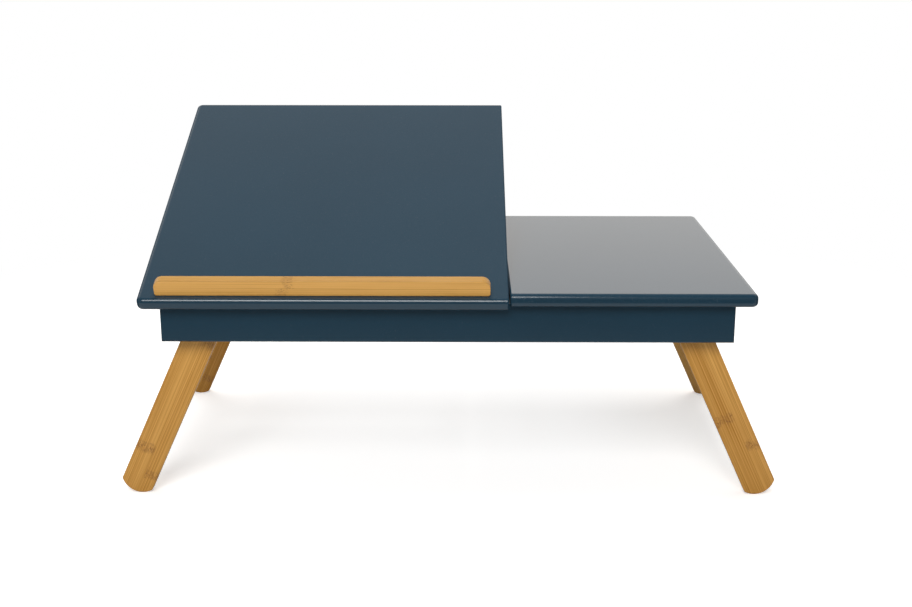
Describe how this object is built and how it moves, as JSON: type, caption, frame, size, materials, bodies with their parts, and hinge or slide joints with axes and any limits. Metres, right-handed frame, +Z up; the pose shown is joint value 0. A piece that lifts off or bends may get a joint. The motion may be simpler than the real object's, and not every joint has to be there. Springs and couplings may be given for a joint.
{
  "type": "laptop table",
  "caption": "Low bed table for a laptop: a painted tilting top with a bamboo ledge beside a fixed top, on a shallow rail frame with splayed folding bamboo legs.",
  "frame": {"origin": "on the floor, under the middle of the two tops' plan", "axes": "+X to the user's right along the width, +Y away from the user, +Z up"},
  "size_m": [0.6102, 0.3532, 0.328],
  "materials": {
    "painted_board": "satin paint",
    "bamboo": "clear satin lacquer",
    "zinc_steel": "zinc plated",
    "brass": "plain"
  },
  "bodies": {
    "frame": {"front_rail": "painted_board", "back_rail": "painted_board", "left_rail": "painted_board", "right_rail": "painted_board", "cross_rail": "painted_board", "fixed_top": "painted_board", "fixed_top_screws": "zinc_steel", "notched_rail_left": "bamboo", "notched_rail_right": "bamboo", "notched_rail_screws": "zinc_steel", "hinge_pins": "zinc_steel", "frame_leaf_left": "brass", "frame_leaf_right": "brass", "frame_leaf_screws": "zinc_steel", "leg_bolts": "zinc_steel"},
    "tilting_top": {"tilt_panel": "painted_board", "ledge": "bamboo", "ledge_screws": "zinc_steel", "panel_leaf_left": "brass", "panel_leaf_right": "brass", "panel_leaf_screws": "zinc_steel", "prop_block_left": "bamboo", "prop_block_right": "bamboo", "prop_block_screws": "zinc_steel", "prop_axle": "zinc_steel"},
    "prop": {"prop_arm_left": "bamboo", "prop_arm_right": "bamboo", "prop_cross_bar": "bamboo"},
    "leg_front_left": {"leg_front_left": "bamboo"},
    "leg_front_right": {"leg_front_right": "bamboo"},
    "leg_back_left": {"leg_back_left": "bamboo"},
    "leg_back_right": {"leg_back_right": "bamboo"}
  },
  "joints": [
    {"name": "top_tilt", "type": "hinge", "parent": "frame", "child": "tilting_top", "pos_m": [0, -0.164, 0.188], "axis": [1, 0, 0], "range_deg": [-22.5, 11.5]},
    {"name": "prop_swing", "type": "hinge", "parent": "tilting_top", "child": "prop", "pos_m": [0, -0.03314, 0.23272], "axis": [1, 0, 0], "range_deg": [-24, 46]},
    {"name": "leg_front_left_fold", "type": "hinge", "parent": "frame", "child": "leg_front_left", "pos_m": [-0.217, -0.1427, 0.17025], "axis": [0, -1, 0], "range_deg": [0, 114.5]},
    {"name": "leg_front_right_fold", "type": "hinge", "parent": "frame", "child": "leg_front_right", "pos_m": [0.217, -0.1427, 0.17025], "axis": [0, 1, 0], "range_deg": [0, 114.5]},
    {"name": "leg_back_left_fold", "type": "hinge", "parent": "frame", "child": "leg_back_left", "pos_m": [-0.217, 0.1427, 0.17025], "axis": [0, -1, 0], "range_deg": [0, 114.5]},
    {"name": "leg_back_right_fold", "type": "hinge", "parent": "frame", "child": "leg_back_right", "pos_m": [0.217, 0.1427, 0.17025], "axis": [0, 1, 0], "range_deg": [0, 114.5]}
  ],
  "couplings": [
    {"joint": "prop_swing", "follows": "top_tilt", "ratio": -2}
  ]
}
